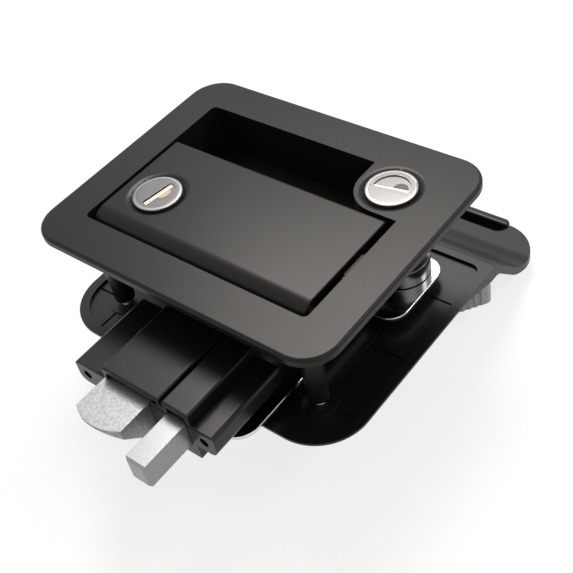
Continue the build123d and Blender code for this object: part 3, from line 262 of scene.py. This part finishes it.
# %% Tumbled zinc
def tumbled_zinc(name, bright, gloss, spangle_size, contrast):
    """A cool grey metal whose crystals, in millimetres, differ by a contrast."""
    material, shader, place = start_finish(name, Metallic=1.0)
    spangle = noise(place, spangle_size, detail=6, roughness=0.7)
    pits = noise(place, spangle_size * 0.4, detail=3)
    crystal_stops = ((0.36, 0.0), (0.62, 1.0))
    patches = spangle.node("ShaderNodeValToRGB", {0: spangle}, stops=crystal_stops)
    dark = colour(bright * (1 - contrast), 0.95, 1, 1.02)
    light = colour(bright, 0.96, 1, 1.02)
    swing = contrast / 2
    feed(
        shader,
        Base_Color=tint(place, patches, dark, light),
        Roughness=(gloss + swing) - swing * patches + 0.06 * pits,
        Normal=bumped(0.5 * pits + 0.5 * spangle, depth=0.02),
    )
    return material


latch_zinc = tumbled_zinc(
    "tumbled zinc latch", bright=0.33, gloss=0.34, spangle_size=0.9, contrast=0.3
)
deadbolt_zinc = tumbled_zinc(
    "tumbled zinc deadbolt", bright=0.3, gloss=0.33, spangle_size=0.8, contrast=0.1
)
print("zinc finishes: both bolts")

# %% [markdown]
# Pressed parts are zinc plated steel sheet. The base plate is bright and mirrors
# its surroundings; slides, levers and nuts are duller, and the deadbolt's hub is
# polished, with a dark colour that is painted shade for the flange's shadow over it.
# Rolling leaves faint lines along the sheet, made here by noise that is stretched along one axis.

# %% Plated steel
def plated_steel(name, bright, gloss, line_depth, stretch=(1, 0.04, 1), warmth=0.02):
    """A lined metal: warmth is how much less blue than red it mirrors."""
    material, shader, place = start_finish(name, Metallic=1.0)
    lines = noise(place, size=0.5, detail=3, stretch=stretch)
    cloud = noise(place, size=12, detail=2)
    hue = (1, 1 - warmth / 2, 1 - warmth)
    dark = colour(bright * 0.9, *hue)
    light = colour(bright, *hue)
    feed(
        shader,
        Base_Color=tint(place, cloud, dark, light),
        Roughness=gloss + 0.06 * lines + 0.05 * cloud,
        Normal=bumped(lines, line_depth),
    )
    return material


bright_sheet = plated_steel("bright plated sheet", bright=0.72, gloss=0.06, line_depth=0.0015)
dull_sheet = plated_steel("plated steel", bright=0.55, gloss=0.24, line_depth=0.004)
screw_steel = plated_steel(
    "plated screw", bright=0.6, gloss=0.22, line_depth=0.004, stretch=(1, 1, 0.1)
)
spring_steel = plated_steel("drawn wire", bright=0.45, gloss=0.3, line_depth=0.003)
# The hub's dark colour is painted shade, standing in for the flange's shadow over it.
hub_steel_with_painted_shade = plated_steel(
    "polished hub with painted shade", bright=0.13, gloss=0.16, line_depth=0.002, warmth=-0.02
)
print("steel finishes: bright sheet, dull sheet, screw, wire, hub")

# %% [markdown]
# A lock has a polished rim and a face that is satin from its brushing, with fine
# parallel scratches. The scratches run across the face, so their noise is
# stretched along X. Key shutters are brass, and so are the rests beside them;
# the left lock's rest is paler than the right lock's.

# %% Lock metal
rim_chrome = plated_steel("polished rim", bright=0.24, gloss=0.25, line_depth=0.0001)
face_nickel = plated_steel(
    "brushed lock face",
    bright=0.19,
    gloss=0.18,
    line_depth=0.003,
    stretch=(0.06, 1, 1),
    warmth=-0.04,
)
shutter_brass = plated_steel(
    "brass key shutter", bright=0.42, gloss=0.34, line_depth=0.002, warmth=0.2
)
# The left lock's rest is paler than the right lock's.
pale_brass = plated_steel(
    "pale brass rest", bright=0.3, gloss=0.34, line_depth=0.004, warmth=0.35
)
dull_brass = plated_steel(
    "dull brass rest", bright=0.09, gloss=0.5, line_depth=0.004, warmth=0.15
)
print("lock finishes: polished rim, brushed face and three kinds of brass")

# %% [markdown]
# The thumb turn is a light grey moulding with a satin skin.

# %% Grey knob
def grey_moulding():
    """A light grey plastic with a fine grain."""
    material, shader, place = start_finish("grey moulding", IOR=1.5)
    grain = noise(place, size=0.3, detail=2)
    cloud = noise(place, size=14, detail=2)
    dark = (0.56, 0.56, 0.565)
    light = (0.62, 0.62, 0.625)
    feed(
        shader,
        Base_Color=tint(place, cloud, dark, light),
        Roughness=0.38 + 0.08 * grain,
        Normal=bumped(grain, depth=0.008),
    )
    return material


knob_grey = grey_moulding()
print("knob finish:", knob_grey.name)

# %% [markdown]
# Pieces are made and changed in the same few steps: put in the scene, opened for
# editing and closed again, shaded smoothly, turned into a plain mesh once their
# modifiers have done their work, and given one material.

# %% Steps for meshes
def placed(name, data):
    """A new object in the scene that holds a mesh, a lamp or a camera."""
    made = bpy.data.objects.new(name, data)
    bpy.context.collection.objects.link(made)
    return made


def opened(mesh):
    """The mesh in a form that bmesh can edit."""
    work = bmesh.new()
    work.from_mesh(mesh)
    return work


def closed(work, mesh):
    """Write an edited form back to its mesh."""
    work.to_mesh(mesh)
    work.free()


def smooth_faces(work):
    """Shade every face smoothly."""
    for face in work.faces:
        face.smooth = True


def made_plain(piece):
    """Put the mesh that the modifiers give in the place of mesh and modifiers."""
    evaluated = piece.evaluated_get(bpy.context.evaluated_depsgraph_get())
    plain = bpy.data.meshes.new_from_object(evaluated)
    piece.modifiers.clear()
    piece.data = plain


def paint(piece, material):
    """Give a piece one material."""
    piece.data.materials.clear()
    piece.data.materials.append(material)


# %% [markdown]
# Real castings and mouldings have small rounded edges, and those edges catch the
# light. The frame's pieces are sharp, so each one that shows is copied, its loose
# triangles are joined, and a bevel rounds the edges. The copy then stands for the
# frame's piece, which stays as it was.

# %% Round the edges of a piece
merge_distance = 0.002 * MM
flat_angle = radians(0.5)
sharp_angle = radians(28)


def split_sharp(mesh):
    """Mark the sharp edges of a mesh, so that they shade as edges."""
    work = opened(mesh)
    for line in work.edges:
        line.smooth = len(line.link_faces) == 2 and line.calc_face_angle() < sharp_angle
    closed(work, mesh)


def rounded_copy(node, edge, clamp=False):
    """Copy a frame piece and round its sharp edges; an edge of 0 keeps them."""
    mesh = frame["nodes"][node].data.copy()
    work = opened(mesh)
    bmesh.ops.remove_doubles(work, verts=work.verts, dist=merge_distance)
    if edge:
        bmesh.ops.dissolve_limit(
            work, angle_limit=flat_angle, verts=work.verts, edges=work.edges
        )
    smooth_faces(work)
    closed(work, mesh)
    piece = placed("finished_" + node, mesh)
    if edge:
        bevel = piece.modifiers.new("edge", "BEVEL")
        bevel.width = edge * MM
        bevel.segments = 2
        bevel.limit_method = "ANGLE"
        bevel.angle_limit = sharp_angle
        bevel.use_clamp_overlap = clamp
    else:
        split_sharp(mesh)
    flats = piece.modifiers.new("flats", "WEIGHTED_NORMAL")
    flats.mode = "FACE_AREA"
    flats.weight = 60
    flats.keep_sharp = True
    made_plain(piece)
    return piece


def body_with(node):
    """The name of the body that holds a node."""
    bodies = frame["record"]["behaviour"]["bodies"]
    return next(name for name, nodes in bodies.items() if node in nodes)


def finish_node(node, material, edge, clamp):
    """Make a piece with rounded edges that stands for a frame node."""
    piece = rounded_copy(node, edge, clamp)
    paint(piece, material)
    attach(piece, body_with(node))
    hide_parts(node)
    print("finished", node, len(piece.data.polygons), "faces")


# %% [markdown]
# Each node has one finish and one edge radius, in millimetres. Edges of castings
# are a quarter to half a millimetre round, those of pressed parts are sharper, and
# the lock barrels keep the frame's own edges. Where edges crowd together, as on
# the big mouldings, the bevel is held back so that it can't cross.

# %% Finish every node
finishes = {
    "outer_housing": (black_coat, 0.25),
    "paddle": (paddle_coat, 0.45),
    "latch_case": (case_nylon, 0.12),
    "case_lid": (case_nylon, 0.2),
    "inner_plate": (plate_nylon, 0.15),
    "inner_lever": (lever_nylon, 0.9),
    "thumb_turn_bush": (bush_nylon, 0.2),
    "latch_bolt": (latch_zinc, 0.2),
    "deadbolt": (deadbolt_zinc, 0.15),
    "deadbolt_hub": (hub_steel_with_painted_shade, 0.3),
    "base_plate": (bright_sheet, 0.3),
    "thumb_turn": (knob_grey, 0.35),
    "paddle_lock_barrel": (rim_chrome, 0.0),
    "deadbolt_lock_barrel": (rim_chrome, 0.0),
    "paddle_lock_plug": (face_nickel, 0.06),
    "deadbolt_lock_plug": (face_nickel, 0.06),
    "paddle_lock_nut": (dull_sheet, 0.15),
    "deadbolt_lock_nut": (dull_sheet, 0.15),
    "paddle_lock_cam": (dull_sheet, 0.15),
    "deadbolt_lock_tail": (dull_sheet, 0.15),
    "latch_slide": (dull_sheet, 0.15),
    "deadbolt_slide": (dull_sheet, 0.15),
    "transfer_lever": (dull_sheet, 0.15),
    "transfer_stud": (screw_steel, 0.2),
    "hub_spindle": (screw_steel, 0.2),
    "paddle_pin": (screw_steel, 0.2),
    "inner_lever_pin": (screw_steel, 0.2),
    "mounting_screws": (screw_steel, 0.2),
    "case_screws": (screw_steel, 0.15),
    "lid_screws": (screw_steel, 0.15),
}
crowded = ("inner_plate", "latch_case", "outer_housing")
for node, (material, edge) in finishes.items():
    finish_node(node, material, edge, clamp=node in crowded)
for node in ("paddle_spring", "inner_lever_spring"):
    paint(frame["nodes"][node], spring_steel)
print("finished", len(finishes), "nodes and two springs")

# %% [markdown]
# The latch spring is pressed together as the bolt goes in. A stiff copy would stay
# long and stick through the bolt; the copy made here has a mesh of its own and
# rides with the spring's body, but nothing flattens it.

# %% Latch spring
spring = rounded_copy("latch_spring", 0)
paint(spring, spring_steel)
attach(spring, body_with("latch_spring"))
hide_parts("latch_spring")
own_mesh(spring)

# %% [markdown]
# The smallest details are flat solids, made from an outline and a depth, some with
# a rounded rim. Outlines are written down in millimetres, counterclockwise, and
# their arcs are drawn in steps of a few degrees.

# %% Solids from an outline
arc_step = 15
rim_angle = radians(20)
rim_steps = 3


def slab(name, outline, bottom, top, material, edge=0.0):
    """A flat solid from a counterclockwise outline, in millimetres."""
    count = len(outline)
    points = [(x * MM, y * MM, z * MM) for z in (bottom, top) for x, y in outline]
    faces = [tuple(reversed(range(count))), tuple(range(count, 2 * count))]
    for i in range(count):
        after = (i + 1) % count
        faces.append((i, after, count + after, count + i))
    mesh = bpy.data.meshes.new(name)
    mesh.from_pydata(points, [], faces)
    mesh.materials.append(material)
    if edge:
        work = opened(mesh)
        rim = [line for line in work.edges if line.calc_face_angle() > rim_angle]
        bmesh.ops.bevel(
            work, geom=rim, offset=edge * MM, segments=rim_steps, affect="EDGES", profile=0.5
        )
        smooth_faces(work)
        closed(work, mesh)
    return placed(name, mesh)


def turned(points, centre, degrees):
    """Points turned about the origin and then moved to a centre."""
    c, s = cos(radians(degrees)), sin(radians(degrees))
    return [(centre[0] + c * x - s * y, centre[1] + s * x + c * y) for x, y in points]


# %% [markdown]
# Each key slot is closed by a small brass shutter that springs aside for the key.
# It lies just under the face, so the slot reads as a dark line beside a warm one,
# and the dish beside it holds a thin brass half moon, paler in the left lock than in the right.

# %% Key shutters
def band(half_length, low, high):
    """A rectangle along the key slot, by its half length and its two edges."""
    return [(-half_length, low), (half_length, low), (half_length, high), (-half_length, high)]


def half_moon(middle, reach, foot, height):
    """A half moon that stands on a line beside the key slot."""
    angles = [radians(turn) for turn in range(0, 181, arc_step)]
    return [(middle + reach * cos(a), foot + height * sin(a)) for a in angles]


key_locks = {
    "paddle": {
        "centre": (-32.8, -13.5),
        "face level": 3.05,
        "angle": 260.5,
        "shutter": band(half_length=6.1, low=-0.25, high=1.45),
        "sink": 0.35,
        "rest": half_moon(middle=-1.6, reach=2.7, foot=1.45, height=1.9),
        "rest brass": pale_brass,
    },
    "deadbolt": {
        "centre": (37.1, 25.6),
        "face level": 3.25,
        "angle": 11.0,
        "shutter": band(half_length=6.1, low=-0.66, high=0.3),
        "sink": 0.2,
        "rest": half_moon(middle=2.9, reach=2.5, foot=0.9, height=2.4),
        "rest brass": dull_brass,
    },
}
shutter_depth = 0.8
dish_depth = 0.5
rest_thickness = 0.08
for lock, look in key_locks.items():
    face_level = look["face level"]
    outline = turned(look["shutter"], look["centre"], look["angle"])
    low = face_level - shutter_depth
    high = face_level - look["sink"]
    shutter = slab(lock + "_key_shutter", outline, low, high, shutter_brass)
    outline = turned(look["rest"], look["centre"], look["angle"])
    low = face_level - dish_depth
    high = low + rest_thickness
    rest = slab(lock + "_key_rest", outline, low, high, look["rest brass"])
    for piece in (shutter, rest):
        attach(piece, body_with(lock + "_lock_plug"))
    print(lock, "key shutter lies", look["sink"], "mm under the face")

# %% [markdown]
# The stop rib in the pan's right wall ends just under the flange, where it catches
# the light. Its tip has a rounded rim and chamfered corners towards the pan.

# %% Tip of the stop rib
rib_face = 46.2
rib_shoulder = 46.8
rib_wall = 47.25
rib_front = -14.3
rib_rear = -3.6
rib_outline = (
    (rib_face, -13.6),
    (rib_shoulder, rib_front),
    (rib_wall, rib_front),
    (rib_wall, rib_rear),
    (rib_shoulder, rib_rear),
    (rib_face, -4.3),
)
rib_tip = slab("stop_rib_tip", rib_outline, bottom=0.9, top=2.85, material=black_coat, edge=0.25)
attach(rib_tip, body_with("outer_housing"))
print("stop rib tip", len(rib_tip.data.polygons), "faces")

# %% [markdown]
# The inner lever ends in a rounded bead that fills the notch of the wing. Its
# corners follow the notch: tight ones at the front, wide ones at the rear.

# %% Bead of the inner lever
def bead_outline(half, front, rear, front_round, rear_round):
    """The right half is an arc at each corner, the left half mirrors it."""
    right = []
    for centre_y, radius, start in (
        (front + front_round, front_round, -90),
        (rear - rear_round, rear_round, 0),
    ):
        for turn in range(start, start + 91, arc_step):
            angle = radians(turn)
            right.append((half - radius + radius * cos(angle), centre_y + radius * sin(angle)))
    return right + [(-x, y) for x, y in reversed(right)]


bead_shape = bead_outline(half=47.0, front=81.6, rear=85.4, front_round=1.2, rear_round=2.4)
bead = slab("lever_bead", bead_shape, bottom=-60.0, top=-54.8, material=lever_nylon, edge=1.1)
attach(bead, body_with("inner_lever"))
print("lever bead", len(bead.data.polygons), "faces")

# %% [markdown]
# Between the front posts and the inner plate the screws show their thread. A
# thread is a helix, so Geometry Nodes winds one ridge and sets it at each screw.
# Modelling every turn by hand would give the same ridges with far more work.

# %% Screw threads
def thread_tree(material):
    """A node group that winds a ridge round each point of the mesh it is given."""
    tree = bpy.data.node_groups.new("screw thread", "GeometryNodeTree")
    face = tree.interface
    face.new_socket("Geometry", in_out="INPUT", socket_type="NodeSocketGeometry")
    for label in ("Core Radius", "Ridge", "Pitch", "Turns"):
        face.new_socket(label, in_out="INPUT", socket_type="NodeSocketFloat")
    face.new_socket("Geometry", in_out="OUTPUT", socket_type="NodeSocketGeometry")
    entry = tree.nodes.new("NodeGroupInput")
    height = tree.nodes.new("ShaderNodeMath")
    height.operation = "MULTIPLY"
    helix = tree.nodes.new("GeometryNodeCurveSpiral")
    helix.inputs["Resolution"].default_value = 24
    profile = tree.nodes.new("GeometryNodeCurvePrimitiveCircle")
    profile.inputs["Resolution"].default_value = 6
    ridge = tree.nodes.new("GeometryNodeCurveToMesh")
    ridge.inputs["Fill Caps"].default_value = True
    copies = tree.nodes.new("GeometryNodeInstanceOnPoints")
    real = tree.nodes.new("GeometryNodeRealizeInstances")
    painted = tree.nodes.new("GeometryNodeSetMaterial")
    painted.inputs["Material"].default_value = material
    leave = tree.nodes.new("NodeGroupOutput")
    for source, target in (
        (entry.outputs["Pitch"], height.inputs[0]),
        (entry.outputs["Turns"], height.inputs[1]),
        (entry.outputs["Turns"], helix.inputs["Rotations"]),
        (entry.outputs["Core Radius"], helix.inputs["Start Radius"]),
        (entry.outputs["Core Radius"], helix.inputs["End Radius"]),
        (height.outputs[0], helix.inputs["Height"]),
        (entry.outputs["Ridge"], profile.inputs["Radius"]),
        (helix.outputs["Curve"], ridge.inputs["Curve"]),
        (profile.outputs["Curve"], ridge.inputs["Profile Curve"]),
        (entry.outputs["Geometry"], copies.inputs["Points"]),
        (ridge.outputs["Mesh"], copies.inputs["Instance"]),
        (copies.outputs["Instances"], real.inputs["Geometry"]),
        (real.outputs["Geometry"], painted.inputs["Geometry"]),
        (painted.outputs["Geometry"], leave.inputs["Geometry"]),
    ):
        tree.links.new(source, target)
    return tree


thread_sizes = {"Core Radius": 1.93 * MM, "Ridge": 0.2 * MM, "Pitch": 0.7 * MM, "Turns": 3.4}
screw_side = 44.5
screw_front = -33.0
thread_foot = -38.55
front_screws = [
    (side * MM, screw_front * MM, thread_foot * MM) for side in (-screw_side, screw_side)
]
seed_mesh = bpy.data.meshes.new("screw_threads")
seed_mesh.from_pydata(front_screws, [], [])
threads = placed("screw_threads", seed_mesh)
winding = threads.modifiers.new("thread", "NODES")
winding.node_group = thread_tree(screw_steel)
for item in winding.node_group.interface.items_tree:
    if item.in_out == "INPUT" and item.name in thread_sizes:
        winding[item.identifier] = thread_sizes[item.name]
made_plain(threads)
thread_work = opened(threads.data)
bmesh.ops.recalc_face_normals(thread_work, faces=thread_work.faces)
smooth_faces(thread_work)
closed(thread_work, threads.data)
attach(threads, body_with("mounting_screws"))
print("screw threads", len(threads.data.polygons), "faces")

# %% [markdown]
# The photograph looks down on the latch from its right front corner with a short
# telephoto lens. The camera was fitted to the flange's edges: its place, the way
# it looks and how far it leans are enough to set it up.

# %% Camera
camera_azimuth = 47.24
camera_elevation = 44.58
camera_lean = -12.886
camera_place = Vector((193.83, -174.20, 217.13)) * MM
camera_lens = 63.753

camera_data = bpy.data.cameras.new("camera")
camera_data.lens = camera_lens
camera_data.sensor_width = 36
camera_data.sensor_fit = "HORIZONTAL"
camera_data.clip_start = 0.01
camera = placed("camera", camera_data)
camera.location = camera_place
azimuth = radians(camera_azimuth)
elevation = radians(camera_elevation)
forward = Vector((-sin(azimuth) * cos(elevation), cos(azimuth) * cos(elevation), -sin(elevation)))
lean = Quaternion((0, 0, 1), radians(camera_lean))
camera.rotation_mode = "QUATERNION"
camera.rotation_quaternion = forward.to_track_quat("-Z", "Y") @ lean
bpy.context.scene.camera = camera
print("camera at", [round(v / MM) for v in camera_place], "mm, lens", camera_lens, "mm")

# %% [markdown]
# Light and floor are a photographer's table. A white sheet carries the latch and
# keeps its soft shadow; the camera, gloss and glass see the sheet and the studio
# behind it as white, so metal mirrors white as it does in a light tent. That is
# done by the kind of ray, not by more light, which would bleach the object.

# %% Floor and world
ray_kinds = ("Camera", "Glossy", "Transmission")


def white_for_rays(tree):
    """1 for camera, glossy and transmission rays, 0 for the light that falls on things."""
    light_path = tree.nodes.new("ShaderNodeLightPath")
    rays = [Flow(tree, light_path.outputs[f"Is {kind} Ray"]) for kind in ray_kinds]
    return (rays[0] + rays[1] + rays[2]).clamp()


floor_level = cad_box[0][2] - 0.2 * MM
floor_side = 6.0
floor_mesh = bpy.data.meshes.new("floor")
floor_signs = ((-1, -1), (1, -1), (1, 1), (-1, 1))
floor_corners = [(x * floor_side, y * floor_side, floor_level) for x, y in floor_signs]
floor_mesh.from_pydata(floor_corners, [], [(0, 1, 2, 3)])
floor = placed("floor", floor_mesh)
floor_white, floor_shader, floor_place = start_finish("white table", Roughness=0.9)
paper = noise(floor_place, size=40, detail=2)
paper_dark = (0.24, 0.24, 0.24)
paper_light = (0.26, 0.26, 0.26)
feed(floor_shader, Base_Color=tint(paper, paper, paper_dark, paper_light))
glow = white_for_rays(floor_white.node_tree)
no_glow = (0, 0, 0)
full_glow = (0.78, 0.78, 0.78)
feed(floor_shader, Emission_Color=tint(glow, glow, no_glow, full_glow))
floor_shader.inputs["Emission Strength"].default_value = 1.0
floor_mesh.materials.append(floor_white)

fill_light = 0.25
world = bpy.data.worlds.new("studio")
bpy.context.scene.world = world
world.use_nodes = True
background = world.node_tree.nodes["Background"]
strength = white_for_rays(world.node_tree) * (1 - fill_light) + fill_light
world.node_tree.links.new(strength.socket, background.inputs["Strength"])
background.inputs["Color"].default_value = (1, 1, 1, 1)
print("floor at", round(floor_level / MM, 1), "mm, fill light", fill_light)

# %% [markdown]
# The main soft box hangs behind the latch, opposite the camera, where the flange
# mirrors it. A much weaker one at the right lights the upright faces, and a small
# one at the right rear draws the lines on the edges.

# %% Lamps
warm_white = (1.0, 0.945, 0.885)


def soft_light(name, azimuth, elevation, distance, size, watts):
    """A square lamp that faces the latch, placed by its angles from it, in millimetres."""
    data = bpy.data.lights.new(name, "AREA")
    data.shape = "SQUARE"
    data.size = size * MM
    data.energy = watts
    data.color = warm_white
    lamp = placed(name, data)
    turn, lift = radians(azimuth), radians(elevation)
    way = Vector((cos(turn) * cos(lift), sin(turn) * cos(lift), sin(lift)))
    lamp.location = way * distance * MM
    lamp.rotation_mode = "QUATERNION"
    lamp.rotation_quaternion = (-way).to_track_quat("-Z", "Y")
    print(name, "at", [round(v / MM) for v in lamp.location], "mm,", watts, "W")


soft_light("main soft box", azimuth=127, elevation=57, distance=820, size=360, watts=5.8)
soft_light("front soft box", azimuth=-20, elevation=30, distance=760, size=420, watts=0.5)
soft_light("edge light", azimuth=38, elevation=36, distance=720, size=160, watts=0.9)

# %% [markdown]
# The picture is shown plainly, without a film look.

# %% Show and finish
bpy.context.scene.view_settings.view_transform = "Standard"
